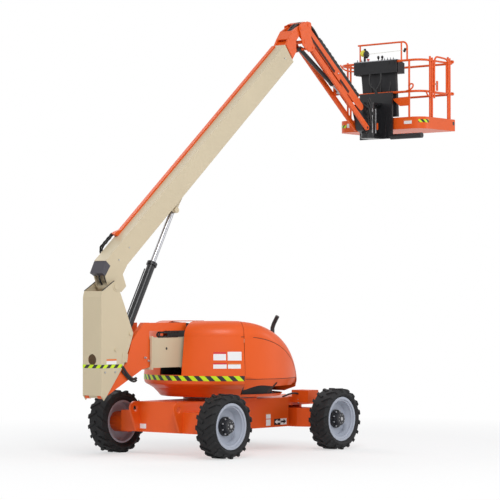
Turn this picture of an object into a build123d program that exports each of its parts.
from build123d import *
import math
import os

# Articulating boom lift. X runs forward to the platform, Y to the left, Z up, in millimetres.
# The origin is on the ground under the middle of the machine's length.

# ---- driving dimensions ----------------------------------------------------------------------
chassis_x = -965            # middle of the wheelbase
wheelbase = 2620
track = 2114
axle_z = 466                # height of the wheel centres
fit_gap = 0.5               # running clearance at a pin or a bore
seat_gap = 0.3              # clearance of a curved face to its seat
swing_gap = 6               # clearance between pieces that move past each other

tyre_radius = 466           # out to the lug tips
tyre_width = 340
carcass_radius = 444
bead_radius = 318
lug_count = 18

chassis_half = 440
chassis_bottom = 345
chassis_top = 790
chassis_rear = -1500        # from the middle of the wheelbase
chassis_waist = 950
chassis_taper = 135         # length over which the sides draw in behind the steer axle
chassis_front = 1640
side_wall = 35
lug_reach = 95
front_reach = 125           # far enough ahead for a pin to pass the front tyres
lug_radius = 105
lug_bore = 45
lug_z = 690

slew_offset = -148          # slewing axis from the middle of the wheelbase
slew_x = chassis_x + slew_offset
bearing_radius = 520
deck_top = 815
pan_floor = 850
pan_rim = 1180
turn_radius = 1150
hood_wall = 10
slot_half = 212             # half the gap between the two hoods
frame_inner = 182           # half the gap between the frame's side plates
frame_wall = 22

tower_half = 170
tower_wall = 12
tower_pivot = 770           # from the slewing axis, forward
tower_pivot_z = 1515
tower_top = 1731
tower_bottom = 1299
tower_end = -1722           # open end of the tower base, from the slewing axis
tower_stroke = 1500
fly_gap = 10                # play between a telescope's sections
pad = fly_gap - fit_gap     # wear pads that fill it at the mouth

upright_half = 180
upright_wall = 12
upright_base = 932
upright_shoulder = 2321

boom_angle = 40.2
boom_pivot_x = slew_x - 2488
boom_pivot_z = 2470
boom_half = 115
boom_wall = 10
boom_low = 45               # lower and upper faces, above the pivot and square to the boom
boom_high = 372
boom_end = 5440
boom_stroke = 3900
lift_pin_u = 1800
lift_pin_v = -40

jib_angle = -38.6
jib_length = 1890
head_half = 157
head_wall = 12
jib_half = 90
bar_inner = 98
bar_wall = 36

platform_depth = 960
platform_length = 1760
floor_z = 5110
toe_top = 5285
rail_z = 6240
rail_radius = 19


def slab(outline, low, high, plane=Plane.XZ, mode=Mode.ADD):
    """Plate with an (x, z) outline, from y = low to y = high."""
    with BuildSketch(plane.offset(-high)) as face:
        with BuildLine():
            Polyline(*outline, close=True)
        make_face()
    extrude(face.sketch, amount=high - low, mode=mode)


def twin_slabs(outline, inner, outer, plane=Plane.XZ, mode=Mode.ADD):
    """The same plate on both sides of the middle plane."""
    slab(outline, inner, outer, plane, mode)
    slab(outline, -outer, -inner, plane, mode)


def block(x_low, x_high, y_low, y_high, z_low, z_high, mode=Mode.ADD):
    slab([(x_low, z_low), (x_high, z_low), (x_high, z_high), (x_low, z_high)], y_low, y_high, mode=mode)


def disc(centre, radius, low, high, plane=Plane.XZ, mode=Mode.ADD):
    """Round boss, pin or bore across the machine, from y = low to y = high."""
    with BuildSketch(plane.offset(-high)) as face:
        with Locations(centre):
            Circle(radius)
    extrude(face.sketch, amount=high - low, mode=mode)


def twin_discs(centre, radius, inner, outer, plane=Plane.XZ, mode=Mode.ADD):
    disc(centre, radius, inner, outer, plane, mode)
    disc(centre, radius, -outer, -inner, plane, mode)


def post(x, y, radius, z_low, z_high, mode=Mode.ADD):
    """Upright round bar or bore."""
    with BuildSketch(Plane.XY.offset(z_low)) as face:
        with Locations((x, y)):
            Circle(radius)
    extrude(face.sketch, amount=z_high - z_low, mode=mode)


def bar(start, end, radius, mode=Mode.ADD):
    """Round bar between two points."""
    run = Vector(*end) - Vector(*start)
    with BuildSketch(Plane(origin=start, z_dir=run)) as face:
        Circle(radius)
    extrude(face.sketch, amount=run.length, mode=mode)


def save(part, label):
    part.label = label
    export_step(part, f"parts/{label}.step")


os.makedirs("parts", exist_ok=True)

# ---- chassis -----------------------------------------------------------------------------------
rear = chassis_x + chassis_rear
waist = chassis_x + chassis_waist
neck = waist + chassis_taper
nose = chassis_x + chassis_front
rear_lug_x = rear - lug_reach
front_lug_x = nose + front_reach
rear_axle_x = chassis_x - wheelbase / 2
front_axle_x = chassis_x + wheelbase / 2
nose_half = 320
nose_bottom = 655
beam_half = 180             # half the length of the steer axle beam, along X
beam_low = 330
beam_high = 615
hanger_wall = 50
trunnion_gap = 40
bracket_low = 700
bracket_high = 890
bracket_half = 130
bracket_out = 640

with BuildPart() as chassis:
    with BuildSketch(Plane.XY.offset(chassis_bottom)) as box:
        with BuildLine():
            Polyline((rear, -chassis_half), (waist, -chassis_half), (neck, -nose_half), (neck, nose_half), (waist, chassis_half),
                     (rear, chassis_half), close=True)
        make_face()
    extrude(box.sketch, amount=chassis_top - chassis_bottom)
    block(waist, nose, -nose_half, nose_half, nose_bottom, chassis_top)
    for side in (-1, 1):
        wall = sorted((side * chassis_half, side * (chassis_half - side_wall)))
        slab(
            [(rear, chassis_top), (rear, chassis_bottom + 15), (rear - 70, chassis_bottom + 15),
             (rear_lug_x - lug_radius + 8, lug_z - 40), (rear_lug_x, lug_z + lug_radius)],
            *wall,
        )
        disc((rear_lug_x, lug_z), lug_radius, *wall)
        disc((rear_lug_x, lug_z), lug_bore, *wall, mode=Mode.SUBTRACT)
        front_wall = sorted((side * nose_half, side * (nose_half - side_wall)))
        slab([(nose, chassis_top), (nose, nose_bottom), (front_lug_x, nose_bottom), (front_lug_x, chassis_top)], *front_wall)
        disc((front_lug_x, (nose_bottom + chassis_top) / 2), (chassis_top - nose_bottom) / 2, *front_wall)
        disc((front_lug_x, (nose_bottom + chassis_top) / 2), lug_bore, *front_wall, mode=Mode.SUBTRACT)
        bracket = sorted((side * nose_half, side * bracket_out))
        block(front_axle_x - bracket_half, front_axle_x + bracket_half, *bracket, bracket_low, bracket_high)
    for face in (-1, 1):
        hanger = sorted((front_axle_x + face * (beam_half + trunnion_gap),
                         front_axle_x + face * (beam_half + trunnion_gap + hanger_wall)))
        block(*hanger, -200, 200, beam_low + 60, nose_bottom)
    with BuildSketch(Plane.XY.offset(chassis_top)) as pedestal:
        with Locations((slew_x, 0)):
            Circle(bearing_radius + 40)
    extrude(pedestal.sketch, amount=deck_top - chassis_top)
save(chassis.part, "chassis_frame")

with BuildPart() as bearing:
    with BuildSketch(Plane.XY.offset(deck_top)) as ring:
        with Locations((slew_x, 0)):
            Circle(bearing_radius)
            Circle(bearing_radius - 90, mode=Mode.SUBTRACT)
    extrude(ring.sketch, amount=pan_floor - deck_top - seat_gap)
save(bearing.part, "swing_bearing")

# ---- axles and wheels --------------------------------------------------------------------------
hub_radius = 150
hub_inner = 780
wheel_y = track / 2
rear_beam_half = 190
kingpin_y = 790
kingpin_radius = 30
yoke_wall = 30
yoke_radius = 75
rim_disc_y = wheel_y + 10   # the wheel disc, set out from the middle of the tyre
rim_disc_wall = 16

with BuildPart() as rear_axle:
    for side in (-1, 1):
        span = sorted((side * chassis_half, side * hub_inner))
        block(rear, rear_axle_x + rear_beam_half, *span, chassis_bottom, 650)
        hub = sorted((side * hub_inner, side * (rim_disc_y - rim_disc_wall)))
        disc((rear_axle_x, axle_z), hub_radius, *hub)
save(rear_axle.part, "rear_axle")

beam_tip = kingpin_y - yoke_radius - 40
beam_shoulder = beam_tip - 215
with BuildPart() as steer_axle:
    with BuildSketch(Plane.XY.offset(beam_low)) as beam:
        with BuildLine():
            outline = [(beam_half, -beam_shoulder), (yoke_radius, -beam_tip), (-yoke_radius, -beam_tip),
                       (-beam_half, -beam_shoulder), (-beam_half, beam_shoulder), (-yoke_radius, beam_tip),
                       (yoke_radius, beam_tip), (beam_half, beam_shoulder)]
            Polyline(*[(front_axle_x + x, y) for x, y in outline], close=True)
        make_face()
    extrude(beam.sketch, amount=beam_high - beam_low)
    bar((front_axle_x - beam_half - trunnion_gap, 0, axle_z), (front_axle_x + beam_half + trunnion_gap, 0, axle_z), 60)
    for side in (-1, 1):
        for ear_low in (beam_low, beam_high - yoke_wall):
            ear = sorted((side * (kingpin_y - yoke_radius - 60), side * kingpin_y))
            block(front_axle_x - yoke_radius, front_axle_x + yoke_radius, *ear, ear_low, ear_low + yoke_wall)
            post(front_axle_x, side * kingpin_y, yoke_radius, ear_low, ear_low + yoke_wall)
        post(front_axle_x, side * kingpin_y, kingpin_radius, beam_low, beam_high)
save(steer_axle.part, "steer_axle")

for name, side in (("near", -1), ("far", 1)):
    with BuildPart() as knuckle:
        post(front_axle_x, side * kingpin_y, yoke_radius - 10, beam_low + yoke_wall + 5, beam_high - yoke_wall - 5)
        span = sorted((side * (kingpin_y + 20), side * (rim_disc_y - rim_disc_wall)))
        disc((front_axle_x, axle_z), yoke_radius + 20, *span)
        outer = sorted((side * (kingpin_y + yoke_radius + 10), side * (rim_disc_y - rim_disc_wall)))
        disc((front_axle_x, axle_z), hub_radius, *outer)
        arm = sorted((side * (kingpin_y - 30), side * (kingpin_y + 30)))
        block(front_axle_x - 230, front_axle_x, *arm, axle_z - 15, axle_z + 15)
        post(front_axle_x, side * kingpin_y, kingpin_radius + fit_gap, beam_low, beam_high, mode=Mode.SUBTRACT)
    save(knuckle.part, f"steer_knuckle_{name}")


def wheel_tyre():
    """Lug tyre turning about X: revolved carcass with two rows of slanted lugs."""
    half = tyre_width / 2
    with BuildPart() as tyre:
        with BuildSketch(Plane.XY):
            with BuildLine():
                Polyline((-half + 44, bead_radius), (half - 44, bead_radius), (half - 44, bead_radius + 19),
                         (half - 8, bead_radius + 50), (half, carcass_radius - 60), (half - 40, carcass_radius),
                         (-half + 40, carcass_radius), (-half, carcass_radius - 60), (-half + 8, bead_radius + 50),
                         (-half + 44, bead_radius + 19), close=True)
            make_face()
        revolve(axis=Axis.X)
        for row in (-1, 1):
            for step in range(lug_count):
                turn = Location((0, 0, 0), (360 / lug_count * (step + 0.25 * row), 0, 0))
                seat = Plane(turn * Location((row * half * 0.53, 0, carcass_radius - 30), (0, 0, row * 32)))
                with BuildSketch(seat) as foot:
                    Rectangle(half * 1.05, 42)
                extrude(foot.sketch, amount=tyre_radius - carcass_radius + 30)
        with BuildSketch(Plane.XY) as limit:
            with BuildLine():
                Polyline((-half, bead_radius), (half, bead_radius), (half, tyre_radius - 34), (half - 26, tyre_radius),
                         (-half + 26, tyre_radius), (-half, tyre_radius - 34), close=True)
            make_face()
        revolve(limit.sketch, axis=Axis.X, mode=Mode.INTERSECT)
    return tyre.part


def wheel_rim():
    """Deep rim with a disc near the middle and a stepped flange, its outer side towards +X."""
    half = tyre_width / 2
    with BuildPart() as rim:
        with BuildSketch(Plane.XY):
            with BuildLine():
                Polyline((-half + 42, bead_radius - 26), (-half + 42, bead_radius - seat_gap),
                         (half - 42, bead_radius - seat_gap), (half - 42 + seat_gap, bead_radius + 17),
                         (half - 30, bead_radius + 17), (half - 30, bead_radius - 16), (half - 52, bead_radius - 20),
                         (half - 56, bead_radius - 42), (half - 90, bead_radius - 46), (10, bead_radius - 75), (10, 96),
                         (-6, 96), (-6, bead_radius - 70), (-30, bead_radius - 26), close=True)
            make_face()
        revolve(axis=Axis.X)
    return rim.part


def wheel_hub():
    """Drive hub's cover, stepped and round, with a ring of wheel studs."""
    with BuildPart() as cap:
        with BuildSketch(Plane.XY):
            with BuildLine():
                Polyline((10 + seat_gap, 0), (10 + seat_gap, 140), (40, 140), (40, 105), (120, 95), (132, 80), (132, 0),
                         close=True)
            make_face()
        revolve(axis=Axis.X)
        with BuildSketch(Plane.YZ.offset(40)) as studs:
            with PolarLocations(122, 9):
                Circle(9)
        extrude(studs.sketch, amount=26)
    return cap.part


tyre = wheel_tyre()
rim = wheel_rim()
hub = wheel_hub()
for end, axle_x in (("rear", rear_axle_x), ("front", front_axle_x)):
    for name, side in (("near", -1), ("far", 1)):
        seat = Location((axle_x, side * wheel_y, axle_z), (0, 0, 90 * side))
        save(tyre.moved(seat), f"tyre_{end}_{name}")
        save(rim.moved(seat), f"rim_{end}_{name}")
        save(hub.moved(seat), f"hub_{end}_{name}")

# ---- turntable ---------------------------------------------------------------------------------
turn = Plane(origin=(slew_x, 0, 0), x_dir=(1, 0, 0), z_dir=(0, -1, 0))
hood_low = pan_floor + 55
hood_top = 1970
hood_skirt = turn_radius - 136
hood_crease = pan_rim - 60
roof_flat = -600            # forward of this, from the slewing axis, the roof falls away
roof_radius = 1600
shoulder = 230
seam_slope = 0.606          # the seam's plane through the slewing axis: x = -slope * |y|
seam_gap = 8
hinge_xs = (-50, 350)       # the ends of the side hood's hinge, from the slewing axis
hinge_drop = 28             # the hinge's axis below the roof
hinge_y = 232
hinge_pin = 6
hinge_tube = 14
hinge_stem = 30             # from a hinge tube's seat to the stem that holds its pin
cover_low = pan_rim
panel_wall = 8
base_pin = (300 - slew_offset, 1000)    # tower lift cylinder's base, from the slewing axis
pivot_pin = 45
cylinder_pin = 32


def roof_at(x, inset=0):
    """Height of the roof at a distance from the slewing axis."""
    run = max(0, x - roof_flat)
    return hood_top - roof_radius + math.sqrt((roof_radius - inset) ** 2 - run ** 2)


def wall_at(z):
    """Radius of the round house's wall at a height."""
    return turn_radius - 0.11 * max(0, z - pan_rim)


pan_foot = turn_radius - 250
pan_depth = pan_rim - pan_floor
with BuildPart() as pan:
    with BuildSketch(Plane.XZ):
        with BuildLine():
            Polyline((0, pan_floor), (pan_foot, pan_floor), (pan_foot + 30, pan_floor + 30), (pan_foot + 22, pan_floor + 40),
                     (pan_foot - 5, pan_floor + 20), (0, pan_floor + 20), close=True)
        make_face()
    revolve(axis=Axis.Z)
    with BuildSketch(Plane.XZ) as rim_band:
        with BuildLine():
            outer_face = [(pan_foot + 18, 0.07), (turn_radius - 133, 0.38), (turn_radius - 29, 0.55), (turn_radius - 10, 0.61),
                          (turn_radius, 0.75), (turn_radius, 1)]
            inner_face = [(turn_radius - 14, 1), (turn_radius - 14, 0.76), (turn_radius - 23, 0.625), (turn_radius - 40, 0.58),
                          (turn_radius - 142, 0.42), (pan_foot + 5, 0.09)]
            Polyline(*[(r, pan_floor + share * pan_depth) for r, share in outer_face + inner_face], close=True)
        make_face()
    revolve(rim_band.sketch, axis=Axis.Z)
    with BuildSketch(Plane.XY.offset(pan_floor + 41)) as ahead:
        with BuildLine():
            Polyline((-seam_slope * 1400, 1400), (0, 0), (-seam_slope * 1400, -1400), (1400, -1400), (1400, 1400), close=True)
        make_face()
    extrude(ahead.sketch, amount=400, mode=Mode.SUBTRACT)
save(pan.part.moved(Location((slew_x, 0, 0))), "turntable_pan")

frame_outer = frame_inner + frame_wall
frame_low = pan_floor + 20
frame_high = frame_low + 330
frame_length = 850          # behind the slewing axis
with BuildPart() as frame:
    twin_slabs([(-frame_length, frame_low), (tower_pivot + 80, frame_low), (tower_pivot + 310, frame_low + 130),
                (tower_pivot + 310, frame_low + 280), (tower_pivot + 190, frame_low + 310), (tower_pivot + 130, tower_pivot_z - 35),
                (tower_pivot + 80, tower_pivot_z + 75), (tower_pivot - 80, tower_pivot_z + 75),
                (tower_pivot - 130, tower_pivot_z - 15), (tower_pivot - 170, frame_high), (-frame_length, frame_high)],
               frame_inner, frame_outer, turn)
    disc((tower_pivot, tower_pivot_z), pivot_pin, -frame_outer - 20, frame_outer + 20, turn)
    twin_discs((tower_pivot, tower_pivot_z), 90, frame_outer - 2, frame_outer + 6, turn)
    disc(base_pin, cylinder_pin, -frame_outer - 6, frame_outer + 6, turn)
    for brace_x in (10 - frame_length, 290 - frame_length, tower_pivot + 70):
        with BuildSketch(turn.offset(frame_outer)) as brace:
            with Locations((brace_x, frame_low + 60)):
                Rectangle(16, 120)
        extrude(brace.sketch, amount=-2 * frame_outer)
save(frame.part, "turntable_frame")


def hood_section(x, inset):
    """Outline of the far hood across the machine, as points in (y, z)."""
    top = roof_at(x, inset)
    low = hood_low if inset == 0 else hood_low - 40
    bend = min(shoulder, 0.5 * (top - hood_low))
    upper = top - bend
    lower = min(hood_crease, upper - 8)
    skirt = math.sqrt((hood_skirt - inset) ** 2 - x ** 2)
    lower_y = math.sqrt((turn_radius - 10 - inset) ** 2 - x ** 2)
    upper_y = math.sqrt((wall_at(upper) - inset) ** 2 - x ** 2)
    inner = slot_half + panel_wall + swing_gap if inset == 0 else slot_half - 60
    return (inner, low), (skirt, low), (lower_y, lower), (upper_y, upper), \
        (upper_y - 0.29 * bend, top - 0.29 * bend), (upper_y - bend, top), (inner, top)


def hood_loft(stations, inset):
    sections = []
    for x in stations:
        with BuildSketch(Plane(origin=(x, 0, 0), x_dir=(0, 1, 0), z_dir=(1, 0, 0))) as section:
            corner = hood_section(x, inset)
            with BuildLine():
                Polyline(corner[6], corner[0], corner[1], corner[2], corner[3])
                ThreePointArc(corner[3], corner[4], corner[5])
                Line(corner[5], corner[6])
            make_face()
        sections.append(section.sketch)
    loft(sections)


hinge_ends = [(x, hinge_y, roof_at(x) - hinge_drop) for x in hinge_xs]
hinge_run = (Vector(*hinge_ends[1]) - Vector(*hinge_ends[0])).normalized()


def along_hinge(end, distance):
    """Point on the far hood's hinge axis, forward of one of its ends."""
    return tuple(Vector(*hinge_ends[end]) + hinge_run * distance)


with BuildPart() as hood_core:
    hood_loft((-720, -400, -100, 200, 450, 650, 780, 838), hood_wall)
with BuildPart() as hood:
    hood_loft((-640, -400, -100, 200, 450, 650, 780, 850), 0)
    add(hood_core.part, mode=Mode.SUBTRACT)
    with BuildSketch(Plane.XY.offset(800)) as behind:
        with BuildLine():
            Polyline((seam_gap, 0), (-seam_slope * 1400 + seam_gap, 1400), (-1400, 1400), (-1400, 0), close=True)
        make_face()
    extrude(behind.sketch, amount=1300, mode=Mode.SUBTRACT)
    for end in (0, 1):
        sign = 1 - 2 * end
        bar(along_hinge(end, -12 * sign), along_hinge(end, 22 * sign), hinge_tube)
        bar(along_hinge(end, -30 * sign), along_hinge(end, 40 * sign), hinge_pin + fit_gap, Mode.SUBTRACT)
far_hood = hood.part.moved(Location((slew_x, 0, 0)))
save(far_hood, "side_hood_far")
save(far_hood.mirror(Plane.XZ), "side_hood_near")


def house_back(inset, low):
    """Round back of the house with its rounded shoulder, as a full turn."""
    with BuildSketch(Plane.XZ) as section:
        with BuildLine():
            crease = hood_top - shoulder
            side = wall_at(crease) - inset
            Polyline((0, hood_top - inset), (0, low), (turn_radius - inset, low), (side, crease))
            ThreePointArc((side, crease), (side - 0.29 * (shoulder - inset), hood_top - inset - 0.29 * (shoulder - inset)),
                          (side - shoulder + inset, hood_top - inset))
            Line((side - shoulder + inset, hood_top - inset), (0, hood_top - inset))
        make_face()
    return section.sketch


for name, side in (("near", -1), ("far", 1)):
    with BuildPart() as cover:
        revolve(house_back(0, cover_low), axis=Axis.Z)
        revolve(house_back(hood_wall, cover_low - 50), axis=Axis.Z, mode=Mode.SUBTRACT)
        with BuildSketch(Plane.XY.offset(cover_low - 60)) as sector:
            with BuildLine():
                Polyline((-seam_slope * slot_half * 1.02, side * slot_half), (-seam_slope * 1400, side * 1400), (-1400, side * 1400),
                         (-1400, side * slot_half), close=True)
            make_face()
        extrude(sector.sketch, amount=1000, mode=Mode.INTERSECT)
    save(cover.part.moved(Location((slew_x, 0, 0))), f"rear_cover_{name}")

with BuildPart() as panels:
    inner_top = [(x, roof_at(x) - hinge_drop - 25) for x in (roof_flat, -300, 0, 200, 400, 550, 700, 800)]
    twin_slabs([(45 - turn_radius, cover_low), (160 - turn_radius, hood_top - 260),
                (290 - turn_radius, hood_top - hood_wall - swing_gap)] + inner_top
               + [(850, frame_low), (-frame_length, frame_low), (-950, 1000)], slot_half + seat_gap, slot_half + panel_wall,
               turn)
    stem_foot = slot_half + seat_gap
    stem_outline = [(stem_foot, -45), (hinge_y + 10, -45), (hinge_y + 10, 2), (hinge_y - 4, 2), (hinge_y - 7, -12),
                    (stem_foot, -12)]
    for side in (-1, 1):
        for end in (0, 1):
            sign = 1 - 2 * end
            stem = along_hinge(end, -hinge_stem * sign)
            with BuildSketch(Plane(origin=(slew_x + stem[0] - 4, 0, stem[2]), x_dir=(0, 1, 0), z_dir=(1, 0, 0))) as stem_face:
                with BuildLine():
                    Polyline(*[(side * y, z) for y, z in stem_outline], close=True)
                make_face()
            extrude(stem_face.sketch, amount=8)
            start = along_hinge(end, -(hinge_stem + 2) * sign)
            stop = along_hinge(end, 24 * sign)
            bar((slew_x + start[0], side * start[1], start[2]), (slew_x + stop[0], side * stop[1], stop[2]), hinge_pin)
save(panels.part, "slot_panels")

weight_inner = slot_half + 28
weight_back = turn_radius - 150
weight_step = pan_rim - 70
with BuildPart() as counterweight:
    for side in (-1, 1):
        for base, top, outline in (
            (weight_step, hood_top - 330, [(-weight_back, weight_inner), (-600, weight_inner), (-600, weight_back - 180),
                                           (200 - weight_back, weight_back - 360), (40 - weight_back, weight_back - 600)]),
            (frame_low, weight_step, [(180 - weight_back, weight_inner), (-600, weight_inner), (-600, weight_back - 480),
                                      (260 - weight_back, weight_back - 520)]),
        ):
            with BuildSketch(Plane.XY.offset(base)) as layer:
                with BuildLine():
                    Polyline(*[(slew_x + x, side * y) for x, y in outline], close=True)
                make_face()
            extrude(layer.sketch, amount=top - base)
save(counterweight.part, "counterweight")

mass_inner = slot_half + 68
mass_outer = turn_radius - 390
with BuildPart() as engine:
    block(slew_x - 400, slew_x + 350, mass_inner, mass_outer, frame_low, pan_rim + 260)
save(engine.part, "engine_block")

with BuildPart() as tank:
    block(slew_x - 400, slew_x + 300, -mass_outer, -mass_inner, frame_low, pan_rim + 200)
save(tank.part, "tank_block")

muffler = (1020, 1060)
pipe = (1066, -150)
pipe_radius = 32
with BuildPart() as exhaust:
    disc(muffler, 75, -frame_inner, frame_inner, turn)
    post(slew_x + pipe[0], pipe[1], pipe_radius, muffler[1], 1850)
    bend_start = (slew_x + pipe[0], pipe[1], 1850)
    bar(bend_start, (slew_x + pipe[0], pipe[1] - 30, 1920), pipe_radius)
    bar((slew_x + pipe[0], pipe[1] - 30, 1920), (slew_x + pipe[0], pipe[1] - 100, 2030), pipe_radius)
    with Locations(bend_start, (slew_x + pipe[0], pipe[1] - 30, 1920)):
        Sphere(pipe_radius)
save(exhaust.part, "exhaust")

# ---- tower -------------------------------------------------------------------------------------
tower_rod_pin = (tower_pivot - 1500, 1225)
lug_inner = 45
lug_outer = 68
eye_half = 38
eye_radius = 46
flange = 30
flange_proud = 25
notch_half = 80             # half the notch in the mouth's collar, which the main lift cylinder swings through
with BuildPart() as tower:
    nose_line = tower_pivot + 30
    outline = [(tower_end, tower_top), (tower_end, tower_bottom), (tower_pivot - 60, tower_bottom), (nose_line, 1360),
               (nose_line, 1670), (tower_pivot - 60, tower_top)]
    slab(outline, -tower_half, tower_half, turn)
    cavity = [(tower_end - 50, tower_top - tower_wall), (tower_end - 50, tower_bottom + tower_wall),
              (tower_pivot - 75, tower_bottom + tower_wall), (nose_line - tower_wall, 1375), (nose_line - tower_wall, 1655),
              (tower_pivot - 75, tower_top - tower_wall)]
    slab(cavity, -tower_half + tower_wall, tower_half - tower_wall, turn, Mode.SUBTRACT)
    collar_low = tower_bottom - flange_proud
    collar_high = tower_top + flange_proud
    slab([(tower_end - flange, collar_low), (tower_end, collar_low), (tower_end, collar_high), (tower_end - flange, collar_high)],
         -tower_half - flange_proud, tower_half + flange_proud, turn)
    slab([(tower_end - flange, tower_bottom + tower_wall), (tower_end, tower_bottom + tower_wall),
          (tower_end, tower_top - tower_wall), (tower_end - flange, tower_top - tower_wall)],
         -tower_half + tower_wall, tower_half - tower_wall, turn, Mode.SUBTRACT)
    slab([(tower_end - flange - 5, tower_top + 3), (tower_end + 5, tower_top + 3), (tower_end + 5, collar_high + 5),
          (tower_end - flange - 5, collar_high + 5)], -notch_half, notch_half, turn, Mode.SUBTRACT)
    pad_end = tower_end + 160
    for low, high in ((tower_bottom + tower_wall, tower_bottom + tower_wall + pad), (tower_top - tower_wall - pad, tower_top - tower_wall)):
        slab([(tower_end, low), (pad_end, low), (pad_end, high), (tower_end, high)], -90, 90, turn)
    for low in (-tower_half + tower_wall, tower_half - tower_wall - pad):
        slab([(tower_end, 1440), (pad_end, 1440), (pad_end, 1590), (tower_end, 1590)], low, low + pad, turn)
    disc((tower_pivot, tower_pivot_z), 75, -tower_half, tower_half, turn)
    disc((tower_pivot, tower_pivot_z), pivot_pin + fit_gap, -tower_half, tower_half, turn, Mode.SUBTRACT)
    foot_x = tower_rod_pin[0]
    twin_slabs([(foot_x - 130, tower_bottom), (foot_x - 40, tower_rod_pin[1] - 30), (foot_x + 40, tower_rod_pin[1] - 30),
                (foot_x + 130, tower_bottom)], lug_inner, lug_outer, turn)
    twin_discs(tower_rod_pin, cylinder_pin + 10, lug_outer, lug_outer + 22, turn)
save(tower.part, "tower_base")

fly_half = tower_half - tower_wall - fly_gap
arm_inner = 85
arm_outer = 155
foot_pin = (-2737, 925)
foot_radius = 38
gooseneck_start = tower_end - flange - 10
with BuildPart() as tower_fly:
    fly_low = tower_bottom + tower_wall + fly_gap
    fly_high = tower_top - tower_wall - fly_gap
    slab([(gooseneck_start - 90, fly_low), (250, fly_low), (250, fly_high), (gooseneck_start, fly_high),
          (gooseneck_start - 90, fly_high - 140)], -fly_half, fly_half, turn)
    twin_slabs([(-1880, 1954), (gooseneck_start, 1953), (gooseneck_start, 1310), (-1908, 1284), (-2465, 1015),
                (foot_pin[0] + 18, foot_pin[1] - 33), (foot_pin[0] - 10, foot_pin[1] + 36), (-2692, 1010), (-2237, 1400),
                (-2182, 1560), (-2137, 1693)], arm_inner, arm_outer, turn)
    twin_discs(foot_pin, foot_radius, arm_inner, arm_outer, turn)
    disc((-2050, 1400), 40, -arm_inner, arm_inner, turn)
    disc((-2440, 1110), 40, -arm_inner, arm_inner, turn)
    slab([(gooseneck_start - 60, 1832), (-960, 1832), (-960, 1950), (gooseneck_start - 60, 1950)], -arm_outer, -arm_inner - 15, turn)
    disc(foot_pin, foot_radius - 8 + fit_gap, -arm_outer, arm_outer, turn, Mode.SUBTRACT)
save(tower_fly.part, "tower_fly")

track_wall = 28
with BuildPart() as tower_track:
    track_low = tower_top
    track_high = 1822
    bend_r = (track_high - track_low) / 2
    disc((-1560 + bend_r, track_low + bend_r), bend_r, -arm_outer, -arm_inner - 15, turn)
    slab([(-1560 + bend_r, track_low), (-1105, track_low), (-1105, track_high), (-1560 + bend_r, track_high)], -arm_outer, -arm_inner - 15, turn)
    disc((-1560 + bend_r, track_low + bend_r), bend_r - track_wall, -arm_outer, -arm_inner - 15, turn, Mode.SUBTRACT)
    slab([(-1560 + bend_r, track_low + track_wall), (-1050, track_low + track_wall), (-1050, track_high - track_wall),
          (-1560 + bend_r, track_high - track_wall)], -arm_outer, -arm_inner - 15, turn, Mode.SUBTRACT)
save(tower_track.part, "tower_powertrack")


def barrel_and_rod(base, tip, barrel_length, barrel_radius, rod_radius, gland_radius, foot, names, eye=eye_radius,
                   half=eye_half, pin=cylinder_pin):
    """Hydraulic cylinder in the plane y = 0 between two (x, z) pins, its rod reaching in to foot from the base pin."""
    run = Vector(tip[0] - base[0], tip[1] - base[1])
    along = Plane(origin=(base[0], 0, base[1]), x_dir=(run.X, 0, run.Y), z_dir=(0, -1, 0))
    axis_start = along.from_local_coords(Vector(eye - 8, 0, 0))
    gland = along.from_local_coords(Vector(barrel_length - 50, 0, 0))
    mouth = along.from_local_coords(Vector(barrel_length, 0, 0))
    rod_foot = along.from_local_coords(Vector(foot, 0, 0))
    rod_end = along.from_local_coords(Vector(run.length - eye + 8, 0, 0))
    with BuildPart() as barrel:
        disc((0, 0), eye, -half, half, along)
        bar(tuple(axis_start), tuple(mouth), barrel_radius)
        bar(tuple(gland), tuple(mouth), gland_radius)
        disc((0, 0), pin + fit_gap, -half - barrel_radius, half + barrel_radius, along, Mode.SUBTRACT)
        bar(tuple(along.from_local_coords(Vector(110, 0, 0))), tuple(along.from_local_coords(Vector(barrel_length + 1, 0, 0))),
            rod_radius + fit_gap, Mode.SUBTRACT)
    with BuildPart() as rod:
        bar(tuple(rod_foot), tuple(rod_end), rod_radius)
        disc((run.length, 0), eye, -half, half, along)
    save(barrel.part, names[0])
    save(rod.part, names[1])


barrel_and_rod((slew_x + base_pin[0], base_pin[1]), (slew_x + tower_rod_pin[0], tower_rod_pin[1]), 1010, 58, 38, 66,
               120, ("tower_lift_barrel", "tower_lift_rod"))

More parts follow.
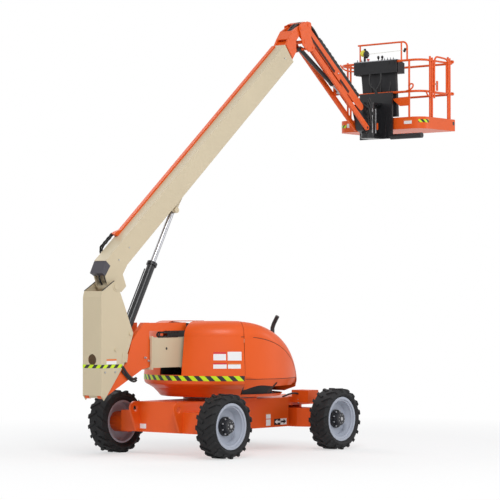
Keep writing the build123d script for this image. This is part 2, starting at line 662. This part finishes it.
# ---- upright -----------------------------------------------------------------------------------
back = -2792
boom_pivot = (-2488, boom_pivot_z)
lift_base = (-2295, 1462)
with BuildPart() as upright:
    side_outline = [(back, upright_base), (back, upright_shoulder), (-2769, 2405), (-2523, 2547), (-2415, 2406), (-2318, 2208),
                    (-2196, 1941), (-2130, 1807), (-2173, 1694), (-2326, 1356), (-2669, 936), (foot_pin[0], 864)]
    twin_slabs(side_outline, upright_half - upright_wall, upright_half, turn)
    slab([(back, upright_base), (back + upright_wall, upright_base), (back + upright_wall, upright_shoulder), (-2757, 2398),
          (-2769, 2405), (back, upright_shoulder)], -upright_half, upright_half, turn)
    disc(foot_pin, foot_radius - 8, -upright_half - 8, upright_half + 8, turn)
    disc(boom_pivot, pivot_pin, -upright_half - 14, upright_half + 14, turn)
    twin_discs(boom_pivot, 70, upright_half - 1, upright_half + 6, turn)
    disc(lift_base, cylinder_pin, -upright_half - 8, upright_half + 8, turn)
    twin_slabs([(lift_base[0] - 80, lift_base[1] - 70), (lift_base[0] + 30, lift_base[1] - 70), (lift_base[0] + 50, lift_base[1] + 50),
                (lift_base[0] - 60, lift_base[1] + 60)], upright_half, upright_half + 6, turn)
    for pin in ((-2197, 1795), (-2499, 1572)):
        twin_discs(pin, 24, upright_half, upright_half + 14, turn)
    with BuildSketch(Plane(origin=(slew_x + back - 5, 0, 1436), z_dir=(1, 0, 0))) as eye_hole:
        Circle(80)
    extrude(eye_hole.sketch, amount=upright_wall + 10, mode=Mode.SUBTRACT)
save(upright.part, "upright")

# ---- main boom ---------------------------------------------------------------------------------
pitch = math.radians(boom_angle)
boom = Plane(origin=(boom_pivot_x, 0, boom_pivot_z), x_dir=(math.cos(pitch), 0, math.sin(pitch)), z_dir=(0, -1, 0))
root_inner = boom_half - 15
with BuildPart() as boom_base:
    slab([(126, boom_high), (boom_end, boom_high), (boom_end, boom_low), (250, boom_low), (148, 259)], -boom_half, boom_half, boom)
    slab([(200, boom_high - boom_wall), (boom_end + 10, boom_high - boom_wall), (boom_end + 10, boom_low + boom_wall), (290, boom_low + boom_wall),
          (200, 240)], -boom_half + boom_wall, boom_half - boom_wall, boom, Mode.SUBTRACT)
    pad_start = boom_end - 160
    for low, high in ((boom_low + boom_wall, boom_low + boom_wall + pad), (boom_high - boom_wall - pad, boom_high - boom_wall)):
        slab([(pad_start, low), (boom_end, low), (boom_end, high), (pad_start, high)], -70, 70, boom)
    for low in (-boom_half + boom_wall, boom_half - boom_wall - pad):
        slab([(pad_start, 130), (boom_end, 130), (boom_end, 280), (pad_start, 280)], low, low + pad, boom)
    twin_slabs([(400, 200), (148, 259), (-20, 216), (-75, 60), (-75, -30), (-20, -80), (90, -175), (215, -175), (270, 0), (430, boom_low),
                (600, 100)], root_inner, boom_half, boom)
    disc((0, 0), 78, -boom_half, boom_half, boom)
    disc((0, 0), pivot_pin + fit_gap, -boom_half, boom_half, boom, Mode.SUBTRACT)
    disc((155, -135), 24, -boom_half, boom_half, boom)
    twin_slabs([(lift_pin_u - 90, boom_low), (lift_pin_u - 40, lift_pin_v - 25), (lift_pin_u + 20, lift_pin_v - 40),
                (lift_pin_u + 60, lift_pin_v), (lift_pin_u + 340, boom_low)], lug_inner, lug_outer, boom)
    twin_discs((lift_pin_u, lift_pin_v), cylinder_pin + 12, lug_outer, lug_outer + 22, boom)
save(boom_base.part, "main_boom")

with BuildPart() as tail_cap:
    slab([(125.8, 366), (-54, 292), (-20, 216.2), (147.8, 259.2)], -boom_half - 2, boom_half + 2, boom)
save(tail_cap.part, "boom_tail_cap")

tray_low = boom_high
with BuildPart() as tray:
    slab([(680, tray_low), (5400, tray_low), (5400, tray_low + 26), (800, tray_low + 26), (700, tray_low + 70), (650, tray_low + 70)],
         52, boom_half, boom)
save(tray.part, "powertrack_tray")

loop_inner = 52
with BuildPart() as boom_track:
    disc((420, 330), 95, boom_half, boom_half + loop_inner, boom)
    slab([(420, 425), (700, 425), (700, 395), (420, 395)], boom_half, boom_half + loop_inner, boom)
    slab([(420, 235), (1500, 235), (1500, 265), (420, 265)], boom_half, boom_half + loop_inner, boom)
    disc((420, 330), 65, boom_half, boom_half + loop_inner, boom, Mode.SUBTRACT)
    slab([(420, 265), (520, 265), (520, 395), (420, 395)], boom_half, boom_half + loop_inner, boom, Mode.SUBTRACT)
save(boom_track.part, "boom_powertrack")

nose_pin = (5901, 355)
nose_radius = 48
head_pin = 28
nose_outer = 130
nose_inner = 105
fly_wall = boom_wall + fly_gap
with BuildPart() as boom_fly:
    slab([(760, boom_high - fly_wall), (5600, boom_high - fly_wall), (5600, boom_low + fly_wall + 70), (5440, boom_low + fly_wall),
          (760, boom_low + fly_wall)], -boom_half + fly_wall, boom_half - fly_wall, boom)
    twin_slabs([(boom_end + 8, 362), (5566, 402), (5729, 440), (5865, 416), (nose_pin[0] + 30, nose_pin[1] + 38),
                (nose_pin[0] + 20, nose_pin[1] - 44), (5830, 285), (5690, 268), (5578, 135), (boom_end + 8, 105)],
               boom_half - fly_wall, nose_outer, boom)
    twin_discs(nose_pin, nose_radius, nose_inner, nose_outer, boom)
    slab([(5560, 402), (5729, 440), (5729, 425), (5560, 387)], -nose_inner, nose_inner, boom)
    twin_discs(nose_pin, head_pin + fit_gap, boom_half - fly_wall, nose_outer, boom, Mode.SUBTRACT)
save(boom_fly.part, "main_boom_fly")

reach = boom.from_local_coords(Vector(lift_pin_u, lift_pin_v, 0))
barrel_and_rod((slew_x + lift_base[0], lift_base[1]), (reach.X, reach.Z), 1560, 60, 40, 78, 800,
               ("main_lift_barrel", "main_lift_rod"))

# ---- jib ---------------------------------------------------------------------------------------
nose = boom.from_local_coords(Vector(nose_pin[0], nose_pin[1], 0))
head = Plane(origin=(nose.X, 0, nose.Z), x_dir=(1, 0, 0), z_dir=(0, -1, 0))
jib_pin = (176, 68)
bar_pin = (299, -271)
level_pin = (93, -198)
jib_base = (158, -300)
head_inner = head_half - head_wall
jib_pin_radius = 24
bar_pin_radius = 20
with BuildPart() as bracket:
    twin_slabs([(-50, -30), (-47, 61), (145, 128), (225, 122), (248, 98), (248, -116), (300, -215), (345, -262), (330, -310),
                (285, -325), (183, -352), (30, -255), (-30, -60)], head_inner, head_half, head)
    disc((0, 0), head_pin, -head_half - 10, head_half + 10, head)
    disc(jib_pin, jib_pin_radius, -head_half - 10, head_half + 10, head)
    disc(level_pin, 28, -head_half - 6, head_half + 6, head)
    disc(jib_base, 22, -head_half - 6, head_half + 6, head)
    twin_discs(bar_pin, bar_pin_radius, bar_inner, head_half + 10, head)
    slab([(20, 80), (100, 112), (96, 120), (16, 90)], -head_inner, head_inner, head)
save(bracket.part, "tip_bracket")

lean = math.radians(jib_angle)
jib_start = (nose.X + jib_pin[0], nose.Z + jib_pin[1])
jib = Plane(origin=(jib_start[0], 0, jib_start[1]), x_dir=(math.cos(lean), 0, math.sin(lean)), z_dir=(0, -1, 0))
jib_rod_pin = (1400, -130)
jib_wall = 10
tube_radius = 44
support_radius = 42
with BuildPart() as jib_beam:
    twin_slabs([(0, -60), (120, -75), (jib_length - 140, -75), (jib_length, -60), (jib_length, 60), (0, 60)],
               jib_half - jib_wall, jib_half, jib)
    twin_discs((0, 0), 60, jib_half - jib_wall, jib_half, jib)
    twin_discs((jib_length, 0), 60, jib_half - jib_wall, jib_half, jib)
    slab([(40, 50), (jib_length - 60, 50), (jib_length - 60, 60), (40, 60)], -jib_half, jib_half, jib)
    disc((0, 0), tube_radius, -jib_half, jib_half, jib)
    disc((0, 0), jib_pin_radius + fit_gap, -jib_half, jib_half, jib, Mode.SUBTRACT)
    disc((jib_length, 0), bar_pin_radius, -jib_half, jib_half, jib)
    twin_slabs([(jib_rod_pin[0] - 120, -60), (jib_rod_pin[0] - 35, jib_rod_pin[1] - 36), (jib_rod_pin[0] + 35, jib_rod_pin[1] - 36),
                (jib_rod_pin[0] + 120, -60)], lug_inner, jib_half, jib)
save(jib_beam.part, "jib_beam")

rise = jib.from_local_coords(Vector(jib_rod_pin[0], jib_rod_pin[1], 0))
barrel_and_rod((nose.X + jib_base[0], nose.Z + jib_base[1]), (rise.X, rise.Z), 970, 34, 22, 40, 235,
               ("jib_lift_barrel", "jib_lift_rod"), eye=36, pin=22)

bars = Plane(origin=(nose.X + bar_pin[0], 0, nose.Z + bar_pin[1]), x_dir=jib.x_dir, z_dir=(0, -1, 0))
bar_half = 42
with BuildPart() as level_bars:
    twin_slabs([(0, -bar_half), (jib_length, -bar_half), (jib_length, bar_half), (0, bar_half)], bar_inner, bar_inner + bar_wall, bars)
    for end in (0, jib_length):
        twin_discs((end, 0), bar_half, bar_inner, bar_inner + bar_wall, bars)
        twin_discs((end, 0), bar_pin_radius + fit_gap, bar_inner, bar_inner + bar_wall, bars, Mode.SUBTRACT)
save(level_bars.part, "jib_level_bars")

jib_end = jib.from_local_coords(Vector(jib_length, 0, 0))
wrist = Plane(origin=(jib_end.X, 0, jib_end.Z), x_dir=(1, 0, 0), z_dir=(0, -1, 0))
end_pin = (bar_pin[0] - jib_pin[0], bar_pin[1] - jib_pin[1])
rotor = 324                 # rotator's axis forward of the jib's end pin
rotor_x = jib_end.X + rotor
rotor_radius = 120
rotor_low = 4975
rotor_high = 5490
web_half = 70
with BuildPart() as support:
    slab([(0, support_radius), (rotor - 60, 20), (rotor - 60, -430), (110, -385), (80, -350), (-support_radius + 4, -16)],
         -web_half, web_half, wrist)
    disc((0, 0), support_radius, -web_half, web_half, wrist)
    disc(end_pin, 44, -web_half, web_half, wrist)
    disc(end_pin, bar_pin_radius, -bar_inner - bar_wall, bar_inner + bar_wall, wrist)
    disc((0, 0), bar_pin_radius + fit_gap, -web_half, web_half, wrist, Mode.SUBTRACT)
    post(rotor_x, 0, rotor_radius, rotor_low, rotor_high)
save(support.part, "jib_support")

# ---- platform ----------------------------------------------------------------------------------
platform_near = rotor_x + 290
platform_far = platform_near + platform_depth
platform_half = platform_length / 2 - 10
toe_wall = 6
deck_wall = 4
deck_inset = 60             # deck panel's edge to the tray's side, clear of the posts
corner = 200
mount_low = rotor_low - fit_gap
with BuildPart() as mount:
    for low in (mount_low - 36, rotor_high + fit_gap):
        block(rotor_x, rotor_x + 210, -125, 125, low, low + 36)
        post(rotor_x, 0, rotor_radius + 8, low, low + 36)
    block(rotor_x + 205, rotor_x + 240, -330, 330, mount_low - 36, 5700)
    block(rotor_x + 240, platform_near, -300, 300, floor_z - 16, 5270)
    bar((rotor_x + 222, -300, mount_low - 10), (rotor_x + 222, -920, mount_low - 10), 45)
    for y in (-230, 230):
        slab([(rotor_x + 150, mount_low - 36), (rotor_x + 210, mount_low - 36), (rotor_x + 210, 5450)], y - 8, y + 8)
save(mount.part, "platform_mount")

with BuildPart() as floor:
    with BuildSketch(Plane.XY.offset(floor_z - 20)) as tray_outline:
        with BuildLine():
            Polyline((platform_near + corner, -platform_half), (platform_far, -platform_half), (platform_far, platform_half),
                     (platform_near + corner, platform_half))
            RadiusArc((platform_near + corner, platform_half), (platform_near, platform_half - corner), -corner)
            Line((platform_near, platform_half - corner), (platform_near, -platform_half + corner))
            RadiusArc((platform_near, -platform_half + corner), (platform_near + corner, -platform_half), -corner)
        make_face()
    extrude(tray_outline.sketch, amount=toe_top - floor_z + 20)
    with BuildSketch(Plane.XY.offset(floor_z)) as tray_inside:
        add(tray_outline.sketch)
        offset(amount=-toe_wall, kind=Kind.INTERSECTION)
    extrude(tray_inside.sketch, amount=toe_top - floor_z, mode=Mode.SUBTRACT)
    with BuildSketch(Plane.XY.offset(floor_z)) as deck:
        add(tray_outline.sketch)
        offset(amount=-deck_inset, kind=Kind.INTERSECTION)
    extrude(deck.sketch, amount=deck_wall)
save(floor.part, "platform_floor")

rail_inset = toe_wall + rail_radius + 1
near_x = platform_near + rail_inset
far_x = platform_far - rail_inset
rail_y = platform_half - rail_inset
gate_low = rotor_x + 620
gate_high = rotor_x + 1080
entry_post = rotor_x + 560
mid_rail = 5705


def tube(points, bend, radius, plane=Plane.XY):
    """Bent round tube through points of a plane, with rounded corners."""
    with BuildLine(plane) as path:
        FilletPolyline(*points, radius=bend)
    run = path.wire()
    with BuildSketch(Plane(origin=run @ 0, z_dir=run % 0)) as section:
        Circle(radius)
    sweep(section.sketch, path=run)


with BuildPart() as rails:
    for level in (rail_z - rail_radius, mid_rail):
        level_plane = Plane.XY.offset(level)
        tube([(gate_low, -rail_y), (near_x, -rail_y), (near_x, rail_y), (entry_post, rail_y)], corner - rail_inset, rail_radius,
             level_plane)
        tube([(entry_post - 6, rail_y), (far_x, rail_y), (far_x, -rail_y), (gate_high, -rail_y)], 50, rail_radius - 0.5, level_plane)
    for x, y, top in (
        (entry_post, -rail_y, 6290), (gate_low, -rail_y, 6270), (gate_high, -rail_y, 6318), (near_x, -600, rail_z - 20),
        (near_x, 600, rail_z - 20), (entry_post, rail_y, 6290), (gate_high, rail_y, 6290), (far_x, -420, rail_z - 20),
        (far_x, 420, rail_z - 20),
    ):
        post(x, y, rail_radius - 2, floor_z, top)
    tube([(rail_z - 20, -560), (6530, -560), (6530, 440)], 90, 15, Plane(origin=(near_x, 0, 0), x_dir=(0, 0, 1), z_dir=(-1, 0, 0)))
    for y in (-444, 400):
        post(near_x, y, 13, rail_z - 24, 6525)
    for y in (-250, 250):
        block(near_x + 4, near_x + 30, y - 20, y + 20, rail_z - 34, rail_z - 6)
save(rails.part, "platform_rails")

with BuildPart() as gate:
    gate_gap = 26
    for level in (mid_rail, rail_z - rail_radius):
        bar((gate_low + gate_gap + 12, -rail_y, level), (gate_high - gate_gap - 12, -rail_y, level), rail_radius - 3)
    for x in (gate_low + gate_gap + 14, gate_high - gate_gap - 14):
        post(x, -rail_y, rail_radius - 4, mid_rail - 10, rail_z - 4)
    for low in (mid_rail + 110, rail_z - 150):
        block(gate_low, gate_low + gate_gap + 10, -rail_y - 9, -rail_y + 9, low + 4, low + 36)
        post(gate_low, -rail_y, rail_radius + 5, low, low + 40)
        post(gate_low, -rail_y, rail_radius - 2 + fit_gap, low - 5, low + 45, Mode.SUBTRACT)
save(gate.part, "platform_gate")

console_x = near_x + 30
with BuildPart() as console:
    block(console_x, console_x + 190, -350, 520, 6030, 6190)
    slab([(console_x, 6190), (console_x + 190, 6190), (console_x + 190, 6205), (console_x + 20, 6250), (console_x, 6250)], -350, 520)
    with BuildSketch(Plane(origin=(console_x, 0, 0), x_dir=(0, 1, 0), z_dir=(1, 0, 0))) as apron:
        with BuildLine():
            Polyline((-330, 5310), (330, 5310), (400, 6030), (-300, 6030), close=True)
        make_face()
    extrude(apron.sketch, amount=60)
save(console.part, "platform_console")
